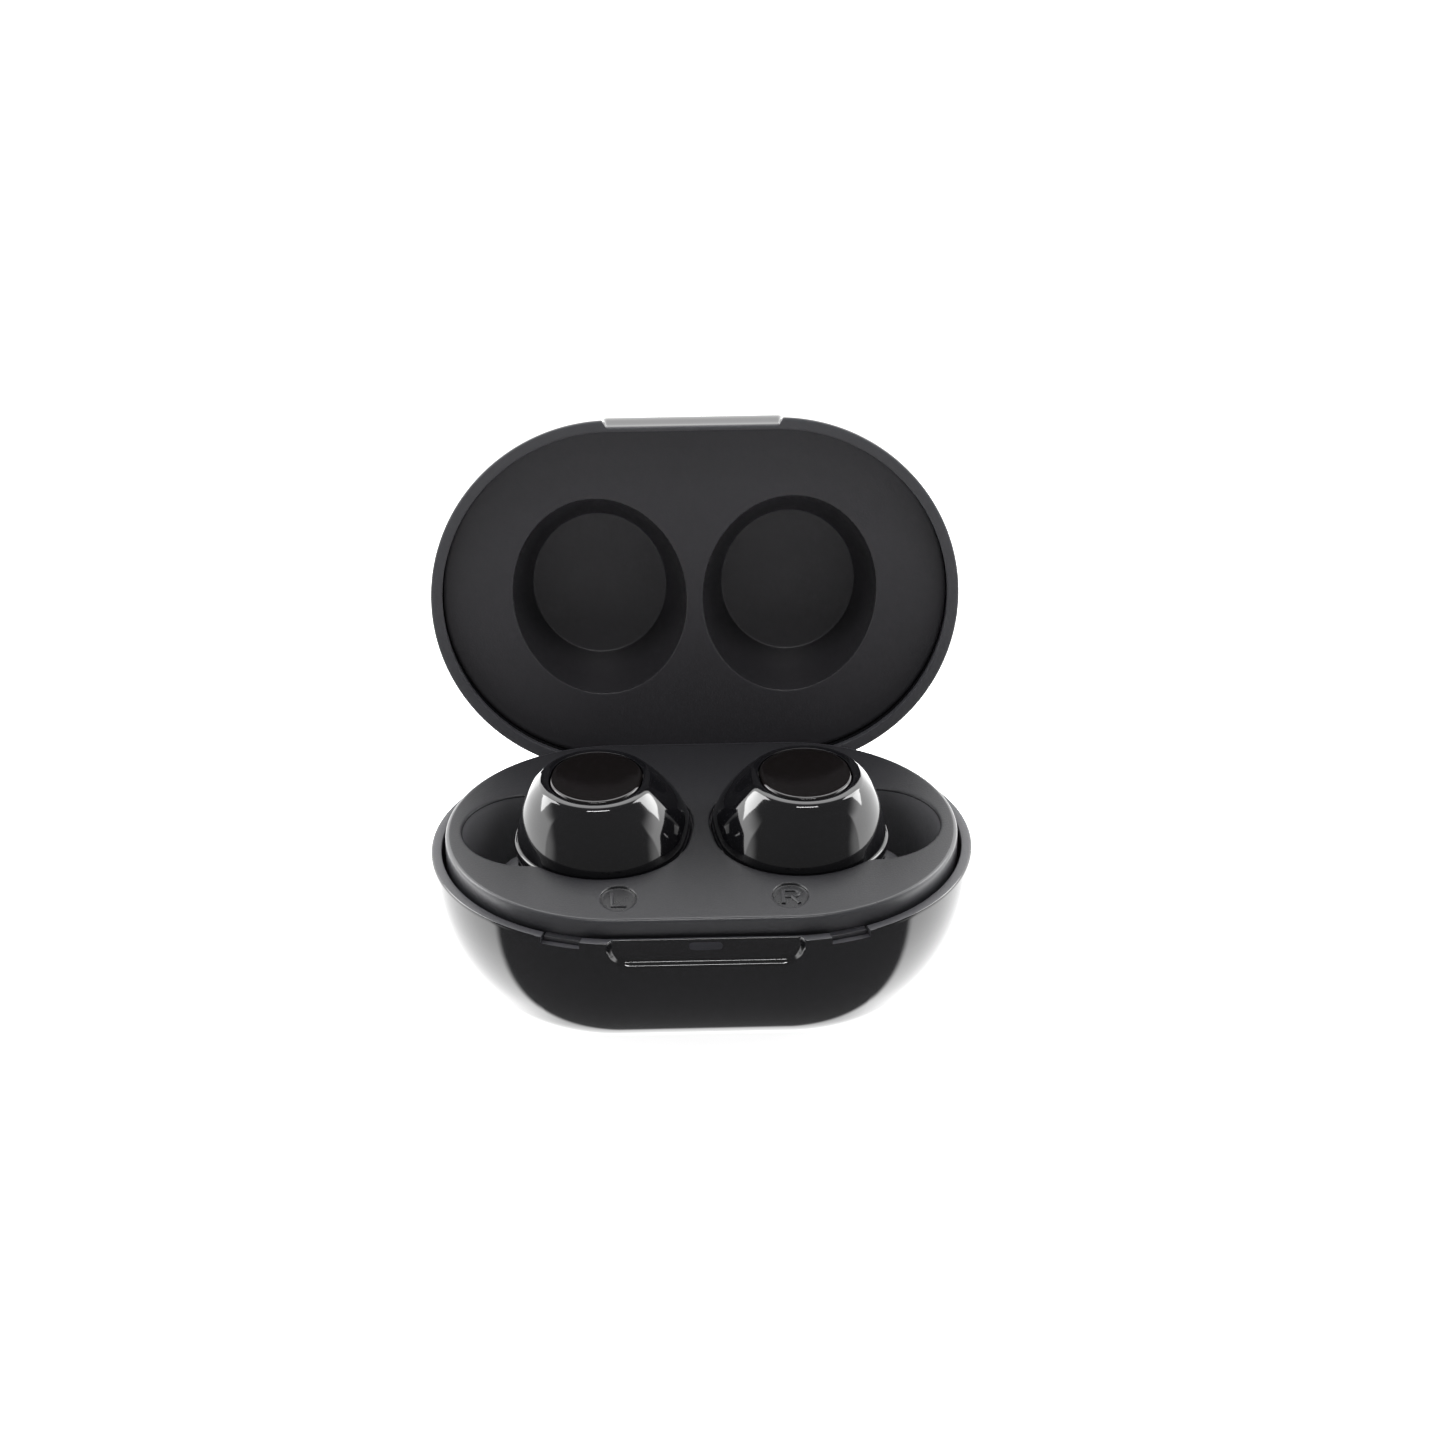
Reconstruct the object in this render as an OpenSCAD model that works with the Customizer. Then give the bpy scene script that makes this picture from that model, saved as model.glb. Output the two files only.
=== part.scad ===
// Charging case for two wireless earbuds, lid open.
// The plan is a stadium: a straight middle along X with a half circle at each end.
// Origin: centre of the flat foot. +Z up, +Y to the hinge, -X is the left earbud's side.
// Millimetres.

/* [Case] */
// Overall width of the case
case_w = 70; // [69:0.5:71]
// Depth from front to back without the hinge barrel
case_d = 48; // [47.8:0.1:48.2]
// Height of the base up to the parting ring
rim_z = 20.5; // [20.4:0.1:20.6]
// Height of the lid above the parting gap
lid_h = 13.1; // [13.1:0.1:14]
// Width of the base's ring
wall = 1.4; // [1.3:0.05:1.5]
// Width of the lid's ring
lid_wall = 1.55; // [1.5:0.05:1.6]
// Groove between the base's ring and the raised deck
tray_gap = 0.5; // [0.45:0.05:0.55]
// Gap between base ring and closed lid
parting_gap = 0.15; // [0.12:0.01:0.2]
// Angle to which the lid opens
lid_open = 104; // [90:1:106]

/* [Tray] */
// How far the deck stands above the parting ring
deck_rise = 2.3; // [2.2:0.05:2.35]
// Thickness of the deck
deck_t = 1.5; // [1.2:0.1:1.6]
// Radius of the round tip pockets
pocket_r = 8.8; // [8.6:0.1:8.8]
// Width of a side mark
mark_w = 4.6; // [4:0.1:5]

/* [Finger notch] */
// Width of the notch in the base
notch_w = 25.2; // [22:0.2:26]
// Height of the notch below the ring
notch_h = 3.7; // [3:0.1:4]
// Depth of the notch into the shell
notch_t = 0.9; // [0.8:0.05:1]

/* [Earbuds] */
// Width of an earbud's dome
bud_w = 22.1; // [21.9:0.1:22.2]
// Distance of an earbud's centre from the middle plane
bud_x = 12.6; // [12.5:0.05:12.6]
// How far the ovals lean outwards at the front
bud_lean = 9; // [6:1:10]
// Width of the push panel
panel_w = 11.7; // [11:0.1:12]
// Inward travel of the push panel
panel_travel = 0.3; // [0.2:0.05:0.3]
// Angle of the nozzle from straight down
nozzle_tilt = 55; // [54:1:56]

/* [Hinge] */
// Pin diameter
pin_d = 1; // [0.9:0.05:1]
// Barrel diameter
barrel_d = 2.3; // [2.2:0.05:2.3]
// Radial running clearance of the pin
pin_gap = 0.05; // [0.03:0.01:0.08]

/* [Hidden] */
$fn = 96;

// plan of the case
end_r = case_d / 2;
mid = case_w - case_d;
// side profile: a superellipse with these two powers
plan_power = 3.55;
rise_power = 2.24;
// the base's curve would close a little below the flat foot
base_h = rim_z + 0.7;
floor_t = 1.6;
edge = 0.3;
deck_z = rim_z + deck_rise;
inner_r = end_r - wall;
inner_h = base_h - 1.6;
tray_r = inner_r - tray_gap;
skirt_t = 1.1;
skirt_z = rim_z - 2.3;
snap_w = 5.1;
snap_angle = 18;

// lid, described shut
lid_z = rim_z + parting_gap;
liner_z = deck_z + 0.35;
liner_t = 1.1;
lid_inner_r = end_r - lid_wall;
lid_inner_h = lid_h - 1.2;
recess_floor_z = 30.9;
recess_wall = 0.8;

// hinge
hinge_y = end_r - 1.2;
hinge_z = rim_z - 1.6;
barrel_half = 11;
lid_knuckle_half = 5;
base_knuckle_from = 6.8;
barrel_room_r = barrel_d / 2 + 0.35;
leaf_t = 0.6;
leaf_y = hinge_y - 0.4;

// seats and pockets, left side
bud_y = 0.5;
bud_r = bud_w / 2;
bud_mid = 2.4;
seat_gap = 0.25;
seat_z = 12.9;
seat_t = 1.2;
pocket_x = 22.1;
pocket_z = 5.6;
pocket_in_x = 16.3;
cup_t = 1.1;

// earbud heights
bud_split_z = 22.3;
bud_top_z = 30.5;
bud_low_z = 13;
panel_out = 0.7;
nozzle_x = 15.5;
nozzle_z = 17;
nozzle_r = 2.9;
nozzle_len = 10.4;
pad_reach = 2.5;

// board and port
board_z = 8.6;
board_t = 1;
port_w = 8.94;
port_h = 3.26;
port_l = 7.35;
port_z = board_z + board_t + port_h / 2;
port_back = 22.6;

// ---- shapes shared by several pieces ----

// Half of a side profile, as [radius, distance from the widest level]
function bulge(r, h, depth, n = 12) =
  let (last = asin(pow(depth / h, rise_power / 2)))
  [for (i = [0:n]) let (a = last * i / n)
    [r * pow(cos(a), 2 / plan_power), h * pow(sin(a), 2 / rise_power)]];

// The same points in the other direction
function turned_round(list) = [for (i = [len(list) - 1:-1:0]) list[i]];

// Turns a half profile round both ends of a stadium and runs it along the middle
module stadium_body(straight) {
  for (side = [-1, 1])
    translate([side * straight / 2, 0, 0])
      rotate([0, 0, -90 * side])
        rotate_extrude(angle = 180) children();
  rotate([90, 0, 90])
    linear_extrude(height = straight, center = true) {
      children();
      mirror([1, 0]) children();
    }
}

// The same for the ovals of an earbud, which are longer front to back and lean outwards
module bud_oval(straight = bud_mid) {
  translate([-bud_x, bud_y, 0])
    rotate([0, 0, 90 - bud_lean])
      stadium_body(straight) children();
}

// Everything that belongs to one earbud is drawn on the left and mirrored for the right
module on_side(side) {
  if (side == "left") children();
  else mirror([1, 0, 0]) children();
}

// Corner block with rounded lower corners, used for the finger notches
module notch_cutter(w, h, depth, r) {
  translate([0, -end_r - 1, 0])
    rotate([-90, 0, 0])
      linear_extrude(height = 1 + depth)
        union() {
          translate([-w / 2, -2]) square([w, 2 + h - r]);
          translate([-w / 2 + r, -2]) square([w - 2 * r, 2 + h]);
          for (side = [-1, 1]) translate([side * (w / 2 - r), h - r]) circle(r = r, $fn = 48);
        }
}

// Swings a lid piece from shut to open
module lid_swing() {
  translate([0, hinge_y, hinge_z])
    rotate([-lid_open, 0, 0])
      translate([0, -hinge_y, -hinge_z]) children();
}

// Room round the barrel for the knuckles of the other half
module barrel_room(r = barrel_room_r) {
  translate([0, hinge_y, hinge_z])
    rotate([0, 90, 0])
      cylinder(r = r, h = 2 * barrel_half + 0.6, center = true);
}

// Gap in the rear of the base's ring, down to the barrel, and a step where the lid's rim passes
module hinge_gap() {
  barrel_room();
  translate([-barrel_half - 0.3, tray_r + 0.1, hinge_z])
    cube([2 * barrel_half + 0.6, 4, 4]);
  translate([-lid_knuckle_half - 0.3, tray_r + 0.1, hinge_z - barrel_room_r])
    cube([2 * lid_knuckle_half + 0.6, 4, 4]);
  translate([-15, end_r - 1, rim_z - 0.6]) cube([30, 3, 2]);
}

// Turns its child to the two snap places, at the front of the round ends
module at_snaps() {
  for (side = [-1, 1])
    translate([side * mid / 2, 0, 0])
      rotate([0, 0, side * snap_angle]) children();
}

// Slot in the ring where a tray hook snaps in: shallow at the outside, deeper behind
module snap_slot() {
  at_snaps() {
    translate([-snap_w / 2, -end_r - 1, rim_z - 0.9]) cube([snap_w, 3.2, 3]);
    translate([-snap_w / 2, -inner_r - 0.5, rim_z - 2.2]) cube([snap_w, 1.2, 3]);
  }
}

// The two hooks of the tray
module snap_hooks() {
  at_snaps()
    translate([-snap_w / 2 + 0.15, -inner_r - 0.4, rim_z - 2.05])
      cube([snap_w - 0.3, 1.2, 0.8]);
}

// ---- base ----

module base_shell() {
  color("#1b1b1d")
    difference() {
      stadium_body(mid)
        polygon(concat(
          [[0, 0]],
          [for (p = turned_round(bulge(end_r, base_h, rim_z))) if (rim_z - p[1] < rim_z - edge) [p[0], rim_z - p[1]]],
          [[end_r, rim_z - edge], [end_r - edge, rim_z], [inner_r, rim_z]],
          [for (p = bulge(inner_r, inner_h, rim_z - floor_t)) if (p[1] > 0) [p[0], rim_z - p[1]]],
          [[0, floor_t]]
        ));
      translate([0, 0, rim_z]) notch_cutter(notch_w, notch_h, notch_t, 3);
      snap_slot();
      light_pipe_block(0.08);
      hinge_gap();
      port_tunnel();
    }
}

// Rounded slot for the port, through the back wall
module port_tunnel() {
  translate([0, end_r, port_z])
    rotate([90, 0, 0])
      linear_extrude(height = 8) {
        square([port_w + 0.4 - port_h - 0.4, port_h + 0.4], center = true);
        for (side = [-1, 1])
          translate([side * (port_w - port_h) / 2, 0]) circle(d = port_h + 0.4, $fn = 48);
      }
}

module light_pipe_block(grow) {
  translate([-2.2 - grow, -end_r + notch_t - 0.05 - (grow > 0 ? 1 : 0), rim_z - 1.6 - grow])
    cube([4.4 + 2 * grow, 2.2 + (grow > 0 ? 2 : 0), 1.2 + 2 * grow]);
}

// Outer limits of the tray: inside the shell below the ring, raised deck above it
module tray_limits(shrink) {
  stadium_body(mid)
    polygon(concat(
      [[0, 2], [0, deck_z - (shrink > 0 ? -1 : 0)]],
      shrink > 0
        ? [[tray_r - shrink, deck_z + 1]]
        : [for (a = [90:-15:0]) [tray_r - 0.5 + 0.5 * cos(a), deck_z - 0.5 + 0.5 * sin(a)]],
      [for (p = bulge(tray_r - shrink, inner_h - 0.2 - shrink, rim_z - 2 - shrink))
        [p[0], rim_z - p[1]]],
      [[0, 2 + shrink]]
    ));
}

// Hollow of one seat: straight at the deck and drawn in to the floor
module seat_hollow(grow, low) {
  bud_oval()
    polygon([
      [0, low], [7.4 + grow, low], [9.6 + grow, low + 2], [10.9 + grow, low + 4.6],
      [bud_r + seat_gap + grow, low + 7.4], [bud_r + seat_gap + grow, deck_z + 1],
      [0, deck_z + 1]
    ]);
}

module pocket_round(grow, low, inner) {
  intersection() {
    translate([-pocket_x, bud_y, low])
      cylinder(r = pocket_r + grow, h = deck_z + 1 - low);
    union() {
      translate([-40, -15, low]) cube([40 - inner, 30, 30]);
      translate([-40, -15, seat_z - grow]) cube([40, 30, 30]);
    }
  }
}

module tray_cavities() {
  for (side = ["left", "right"])
    on_side(side) {
      seat_hollow(0, seat_z);
      intersection() {
        pocket_round(0, pocket_z, pocket_in_x);
        tray_limits(cup_t);
      }
      for (reach = [-pad_reach, pad_reach])
        translate([-bud_x, bud_y + reach, seat_z - 3]) cylinder(r = 0.65, h = 4);
    }
}

// Side mark: a shallow oval with a plain raised letter made of bars
module mark_recess() {
  translate([-10.9, -16.7, deck_z - 0.3])
    linear_extrude(height = 2)
      for (shift = [-0.7, 0.7]) translate([0, shift]) circle(d = mark_w, $fn = 64);
  translate([-10.9 - mark_w / 2, -17.4, deck_z - 0.3]) cube([mark_w, 1.4, 2]);
}

module left_letter() {
  translate([-10.9, -16.7, deck_z - 0.35]) {
    translate([-0.9, -1.6, 0]) cube([0.6, 3.2, 0.3]);
    translate([-0.9, -1.6, 0]) cube([1.9, 0.6, 0.3]);
  }
}

module right_letter() {
  translate([10.9, -16.7, deck_z - 0.35]) {
    translate([-1, -1.6, 0]) cube([0.6, 3.2, 0.3]);
    translate([-1, 0, 0])
      difference() {
        union() {
          translate([1.1, 0.8, 0]) cylinder(d = 1.6, h = 0.3, $fn = 32);
          cube([1.1, 1.6, 0.3]);
        }
        translate([1.1, 0.8, -1]) cylinder(d = 0.5, h = 2, $fn = 32);
        translate([0.55, 0.55, -1]) cube([0.55, 0.5, 2]);
      }
    translate([-0.1, 0.1, 0]) rotate([0, 0, -58]) cube([1.9, 0.6, 0.3]);
  }
}

module base_tray() {
  color("#4a494c") {
    difference() {
      intersection() {
        tray_limits(0);
        union() {
          translate([-case_w / 2, -case_d / 2, deck_z - deck_t]) cube([case_w, case_d, deck_t + 1]);
          difference() {
            translate([-case_w / 2, -case_d / 2, skirt_z]) cube([case_w, case_d, 5]);
            stadium_body(mid) translate([0, 0]) square([tray_r - skirt_t, 60]);
          }
          for (side = ["left", "right"])
            on_side(side) {
              intersection() {
                seat_hollow(cup_t, seat_z - seat_t);
                translate([-60, -30, 0]) cube([60, 60, 60]);
              }
              pocket_round(cup_t, pocket_z - cup_t, pocket_in_x - cup_t);
              for (y = [-15.5, 16.5])
                translate([-9, y, board_z + board_t]) cylinder(r = 1.6, h = 12);
            }
        }
      }
      tray_cavities();
      for (side = ["left", "right"]) on_side(side) mark_recess();
      translate([-barrel_half - 0.3, 18, skirt_z - 1]) cube([2 * barrel_half + 0.6, 6, rim_z - skirt_z + 0.9]);
      barrel_room();
      light_pipe_block(0.1);
      for (x = [-9, 9])
        for (y = [-15.5, 16.5])
          translate([x, y, board_z]) cylinder(r = 0.7, h = 4.5, $fn = 32);
    }
    left_letter();
    right_letter();
    snap_hooks();
  }
}

module light_pipe() {
  color("#8a8a90") light_pipe_block(0);
}

module status_led() {
  color("#e8e4c8")
    translate([-0.8, -end_r + notch_t + 2.25, rim_z - 1.4]) cube([1.6, 0.7, 0.8]);
}

module battery() {
  color("#a8acb2")
    translate([0, 0, 2.65])
      union() {
        translate([-11.4, -12.5, 0.6]) cube([22.8, 25, 3.8]);
        translate([-10.8, -11.9, 0]) cube([21.6, 23.8, 5]);
      }
}

module battery_pad() {
  color("#2e2e30")
    translate([-9, -8, floor_t]) cube([18, 16, 2.65 - floor_t]);
}

module main_board() {
  color("#1d5a35")
    difference() {
      translate([-11.5, -17.6, board_z]) cube([23, 35.4, board_t]);
      for (x = [-9, 9])
        for (y = [-15.5, 16.5])
          translate([x, y, board_z - 1]) cylinder(r = 0.8, h = 3, $fn = 32);
    }
}

module power_chip() {
  color("#17171a")
    translate([-2.5, -9, board_z + board_t]) cube([5, 5, 0.9]);
}

// Flat rounded tube
module port_section(grow) {
  square([port_w - port_h, port_h + 2 * grow], center = true);
  for (side = [-1, 1])
    translate([side * (port_w - port_h) / 2, 0]) circle(d = port_h + 2 * grow, $fn = 48);
}

module usb_receptacle() {
  color("#b9bcc2")
    translate([0, port_back, port_z])
      rotate([90, 0, 0])
        difference() {
          linear_extrude(height = port_l) port_section(0);
          translate([0, 0, -1]) linear_extrude(height = port_l - 0.3 + 1 - 0.7) port_section(-0.3);
        }
}

module usb_tongue() {
  color("#101012")
    translate([-3.3, port_back - port_l + 1, port_z - 0.35]) cube([6.6, port_l - 1.8, 0.7]);
}

module contact_block() {
  color("#232326")
    difference() {
      translate([-bud_x - 1.7, bud_y - 3.75, 9.8]) cube([3.4, 7.5, 1.85]);
      for (reach = [-pad_reach, pad_reach])
        translate([-bud_x, bud_y + reach, 9.9]) cylinder(r = 0.57, h = 4);
    }
}

module left_contact_block() {
  on_side("left") contact_block();
}

module right_contact_block() {
  on_side("right") contact_block();
}

// Sprung pin with a rounded head
module charging_pin(reach) {
  color("#d0a548")
    translate([-bud_x, bud_y + reach, 0]) {
      translate([0, 0, 10.55]) cylinder(r = 0.5, h = 2);
      translate([0, 0, 12.45]) sphere(r = 0.48);
    }
}

module left_front_pin() {
  on_side("left") charging_pin(-pad_reach);
}

module left_rear_pin() {
  on_side("left") charging_pin(pad_reach);
}

module right_front_pin() {
  on_side("right") charging_pin(-pad_reach);
}

module right_rear_pin() {
  on_side("right") charging_pin(pad_reach);
}

module seat_magnet() {
  color("#9a9ca0")
    translate([-bud_x + 3.6, bud_y, 10]) cylinder(r = 1.5, h = 1.6);
}

module left_seat_magnet() {
  on_side("left") seat_magnet();
}

module right_seat_magnet() {
  on_side("right") seat_magnet();
}

module latch_magnet() {
  color("#9a9ca0")
    translate([-9.5, -20.6, rim_z - 3]) cube([5, 1.8, 3.7]);
}

module left_latch_magnet() {
  on_side("left") latch_magnet();
}

module right_latch_magnet() {
  on_side("right") latch_magnet();
}

module hall_sensor() {
  color("#17171a")
    translate([-1.4, -19.6, deck_z - deck_t - 1.15]) cube([2.8, 1.6, 1.1]);
}

module board_screws() {
  color("#8e9094")
    for (x = [-9, 9])
      for (y = [-15.5, 16.5])
        translate([x, y, board_z - 0.8])
          difference() {
            union() {
              cylinder(r = 1.3, h = 0.8, $fn = 48);
              cylinder(r = 0.68, h = 4.6, $fn = 48);
            }
            translate([-1, -0.15, -0.1]) cube([2, 0.3, 0.4]);
            translate([-0.15, -1, -0.1]) cube([0.3, 2, 0.4]);
          }
}

module hinge_cradle() {
  color("#7c7e82")
    difference() {
      union() {
        for (side = [0, 1])
          mirror([side, 0, 0]) {
            translate([base_knuckle_from, hinge_y, hinge_z])
              rotate([0, 90, 0]) cylinder(d = barrel_d, h = barrel_half - base_knuckle_from);
            translate([base_knuckle_from, 19.2, hinge_z - 0.8])
              cube([barrel_half - base_knuckle_from, hinge_y - 19.2, 1.2]);
          }
        translate([-barrel_half, 18.4, 14.2]) cube([2 * barrel_half, 1, hinge_z + 0.4 - 14.2]);
      }
      translate([0, hinge_y, hinge_z])
        rotate([0, 90, 0]) cylinder(d = pin_d, h = 30, center = true);
    }
}

module hinge_pin() {
  color("#b0b2b6")
    translate([0, hinge_y, hinge_z])
      rotate([0, 90, 0]) cylinder(d = pin_d, h = 2 * barrel_half, center = true);
}

// Two close turns round the pin beside the lid's knuckle, with a leg down to the bracket
module hinge_spring() {
  color("#a4a6aa") {
    for (x = [5.55, 6.15])
      translate([x, hinge_y, hinge_z])
        rotate([0, 90, 0])
          rotate_extrude() translate([0.9, 0]) circle(r = 0.29, $fn = 24);
    translate([5.85, hinge_y - 0.9, hinge_z - 1]) cube([0.3, 0.4, 0.5]);
  }
}

// ---- lid, drawn shut and swung open ----

module lid_shell() {
  color("#1b1b1d")
    lid_swing()
      difference() {
        translate([0, 0, lid_z])
          stadium_body(mid)
            polygon(concat(
              [[lid_inner_r, 0], [end_r - edge, 0], [end_r, edge]],
              [for (p = bulge(end_r, lid_h, lid_h, 16)) if (p[1] > edge) p],
              [for (p = turned_round(bulge(lid_inner_r, lid_inner_h, lid_inner_h, 16)))
                if (p[1] > 0.01) p]
            ));
        translate([0, 0, lid_z])
          mirror([0, 0, 1]) notch_cutter(notch_w - 1.2, notch_h - 0.4, notch_t, 2);
        leaf_room();
      }
}

// Slot in the lid's rear wall for the steel leaf
module leaf_room() {
  translate([-lid_knuckle_half - 0.2, leaf_y - 0.1, lid_z - 1])
    cube([2 * lid_knuckle_half + 0.4, leaf_t + 0.2, 5.4]);
  translate([-lid_knuckle_half - 0.2, 21, liner_z + liner_t - 0.1])
    cube([2 * lid_knuckle_half + 0.4, leaf_y + leaf_t + 0.1 - 21, leaf_t + 0.3]);
}

// Outside limit of what sits in the lid
module lid_inside(shrink) {
  translate([0, 0, lid_z])
    stadium_body(mid)
      polygon(concat(
        [[0, 0]],
        bulge(lid_inner_r - shrink, lid_inner_h - shrink, lid_inner_h - shrink, 16)
      ));
}

// Hollow of one lid recess, drawn in towards its floor
module recess_hollow(grow, top) {
  bud_oval()
    polygon([
      [0, liner_z - 1], [11.7 + grow, liner_z - 1], [11.6 + grow, liner_z],
      [10.9 + grow, liner_z + 2.6], [9.8 + grow, liner_z + 5.4], [8.5 + grow, top], [0, top]
    ]);
}

module lid_liner() {
  color("#38373a")
    lid_swing()
      difference() {
        intersection() {
          lid_inside(0.12);
          union() {
            translate([-case_w / 2, -case_d / 2, liner_z]) cube([case_w, case_d, liner_t]);
            for (side = ["left", "right"])
              on_side(side)
                intersection() {
                  recess_hollow(recess_wall, recess_floor_z + recess_wall);
                  translate([-60, -30, liner_z]) cube([60, 60, 60]);
                }
          }
        }
        for (side = ["left", "right"]) on_side(side) recess_hollow(0, recess_floor_z);
      }
}

module lid_hinge_leaf() {
  color("#7c7e82")
    lid_swing()
      difference() {
        union() {
          translate([0, hinge_y, hinge_z])
            rotate([0, 90, 0])
              cylinder(d = barrel_d, h = 2 * lid_knuckle_half, center = true);
          translate([-lid_knuckle_half, leaf_y, hinge_z + 0.2])
            cube([2 * lid_knuckle_half, leaf_t, liner_z + liner_t + 0.65 - hinge_z - 0.2]);
          translate([-lid_knuckle_half, 17.5, liner_z + liner_t + 0.05])
            cube([2 * lid_knuckle_half, leaf_y + leaf_t - 17.5, leaf_t]);
        }
        translate([0, hinge_y, hinge_z])
          rotate([0, 90, 0]) cylinder(r = pin_d / 2 + pin_gap, h = 30, center = true);
      }
}

module lid_magnet() {
  color("#9a9ca0")
    lid_swing()
      translate([-9.5, -19.7, liner_z + liner_t + 0.05]) cube([5, 1.8, 2.4]);
}

module left_lid_magnet() {
  on_side("left") lid_magnet();
}

module right_lid_magnet() {
  on_side("right") lid_magnet();
}

module lid_sense_magnet() {
  color("#9a9ca0")
    lid_swing()
      translate([-1.5, -19.4, liner_z + liner_t + 0.05]) cube([3, 1.6, 1.4]);
}

// ---- one earbud, drawn on the left ----

// Outline of the dome, outside or inside, from the split up to the panel's plateau
function dome_line(t) = [
  [bud_r - t, bud_split_z], [bud_r - 0.05 - t, 23.4], [bud_r - 0.4 - t, 24.9],
  [bud_r - 1.2 - t, 26.6 - 0.3 * t], [bud_r - 2.2 - t, 28.1 - 0.5 * t],
  [bud_r - 3.2 - t, 29.4 - 0.8 * t], [bud_r - 3.9 - t, 30.2 - t]
];

module bud_cover() {
  color("#161618")
    difference() {
      bud_oval()
        polygon(concat(
          [[0, bud_split_z + 0.01]], [for (p = dome_line(0)) p], [[bud_r - 4.2, 30.35], [0, 30.35]]
        ));
      bud_oval()
        polygon(concat(
          [[0, bud_split_z - 1], [bud_r - 1, bud_split_z - 1]],
          [for (p = dome_line(1)) if (p[1] < 28.5) p],
          [[bud_r - 4.15, 28.55], [0, 28.55]]
        ));
      panel_body(panel_w / 2 + 0.15, 28, 32);
    }
}

// Upright oval body on the panel's own axis
module panel_body(r, low, top) {
  translate([-panel_out, 0, 0])
    bud_oval(panel_w * 0.1)
      translate([0, low]) square([r, top - low]);
}

module bud_button() {
  color("#0e0e10") {
    panel_body(panel_w / 2, 28.2, bud_top_z - 0.2);
    panel_body(panel_w / 2 - 0.35, 28.2, bud_top_z);
    panel_body(panel_w / 2 + 0.25, 28, 28.45);
    translate([-bud_x - panel_out, bud_y, 27.95]) cylinder(r = 1, h = 0.3);
  }
}

// Outline of the lower housing from the split down to the flat bottom
function housing_line(t) = [
  [bud_r - t, bud_split_z], [bud_r - 0.15 - t, 20.6], [bud_r - 0.8 - t, 18.1],
  [bud_r - 2.3 - t, 15.6 + 0.2 * t], [bud_r - 4.2 - t, 13.7 + 0.6 * t], [5.6 - t / 2, bud_low_z + t]
];

module along_nozzle() {
  translate([-nozzle_x, bud_y, nozzle_z])
    rotate([0, 180 + nozzle_tilt, 0]) children();
}

module bud_shell() {
  color("#1b1b1d")
    difference() {
      union() {
        difference() {
          bud_oval()
            polygon(concat([[0, bud_split_z]], housing_line(0), [[0, bud_low_z]]));
          bud_oval()
            polygon(concat(
              [[0, bud_split_z + 1], [bud_r - 1, bud_split_z + 1]], housing_line(1),
              [[0, bud_low_z + 1]]
            ));
        }
        along_nozzle() {
          translate([0, 0, 3.6]) cylinder(r1 = 3.6, r2 = nozzle_r, h = 2.6);
          translate([0, 0, 3.6]) cylinder(r = nozzle_r, h = nozzle_len - 3.6);
        }
      }
      along_nozzle() translate([0, 0, 0.5]) cylinder(r = 2.2, h = 12);
      for (reach = [-pad_reach, pad_reach])
        translate([-bud_x, bud_y + reach, bud_low_z - 1]) cylinder(r = 0.95, h = 3);
    }
}

module ear_tip() {
  color("#202022")
    along_nozzle()
      rotate_extrude()
        polygon([
          [2.4, 11.4], [2.4, 10.6], [2.95, 10.6], [2.95, 6.9], [3.5, 6.9], [3.5, 9.9],
          [4.3, 9.8], [5, 8.9], [5.2, 7.8], [5.1, 6.3], [5.6, 6.3], [5.75, 7.8], [5.5, 9.4],
          [4.7, 10.8], [3.4, 11.4]
        ]);
}

module nozzle_screen() {
  color("#8e9094")
    along_nozzle() translate([0, 0, nozzle_len - 0.4]) cylinder(r = 2.15, h = 0.2);
}

module driver() {
  color("#5c5e62")
    along_nozzle() {
      translate([0, 0, -2.4]) cylinder(r = 3.4, h = 2.4);
      translate([0, 0, -3.3]) cylinder(r = 2.4, h = 1);
    }
}

module cell() {
  color("#b9bcc2")
    translate([-bud_x + 0.6, bud_y, 21.9]) {
      cylinder(r = 5, h = 3.6);
      cylinder(r = 4.5, h = 4);
    }
}

module bud_board() {
  color("#1d5a35")
    translate([-bud_x, bud_y, 26.3]) cylinder(r = 7.3, h = 0.6);
}

module bud_switch() {
  color("#9a9ca0")
    translate([-bud_x - panel_out - 1.5, bud_y - 1.5, 26.9]) cube([3, 3, 0.7]);
}

module microphone() {
  color("#b0a070")
    translate([-bud_x + 1.5, bud_y + 3.2, 26.9]) cube([2.6, 1.8, 0.65]);
}

module bud_magnet() {
  color("#9a9ca0")
    translate([-bud_x + 3.4, bud_y, bud_low_z + 1.05]) cylinder(r = 1.5, h = 1.5);
}

module charge_pads() {
  color("#d0a548")
    for (reach = [-pad_reach, pad_reach])
      translate([-bud_x, bud_y + reach, bud_low_z]) cylinder(r = 0.9, h = 1.1);
}

module left_bud_cover() { on_side("left") bud_cover(); }
module left_bud_shell() { on_side("left") bud_shell(); }
module left_bud_button() { on_side("left") bud_button(); }
module left_ear_tip() { on_side("left") ear_tip(); }
module left_nozzle_screen() { on_side("left") nozzle_screen(); }
module left_driver() { on_side("left") driver(); }
module left_cell() { on_side("left") cell(); }
module left_bud_board() { on_side("left") bud_board(); }
module left_bud_switch() { on_side("left") bud_switch(); }
module left_microphone() { on_side("left") microphone(); }
module left_bud_magnet() { on_side("left") bud_magnet(); }
module left_charge_pads() { on_side("left") charge_pads(); }
module right_bud_cover() { on_side("right") bud_cover(); }
module right_bud_shell() { on_side("right") bud_shell(); }
module right_bud_button() { on_side("right") bud_button(); }
module right_ear_tip() { on_side("right") ear_tip(); }
module right_nozzle_screen() { on_side("right") nozzle_screen(); }
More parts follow.
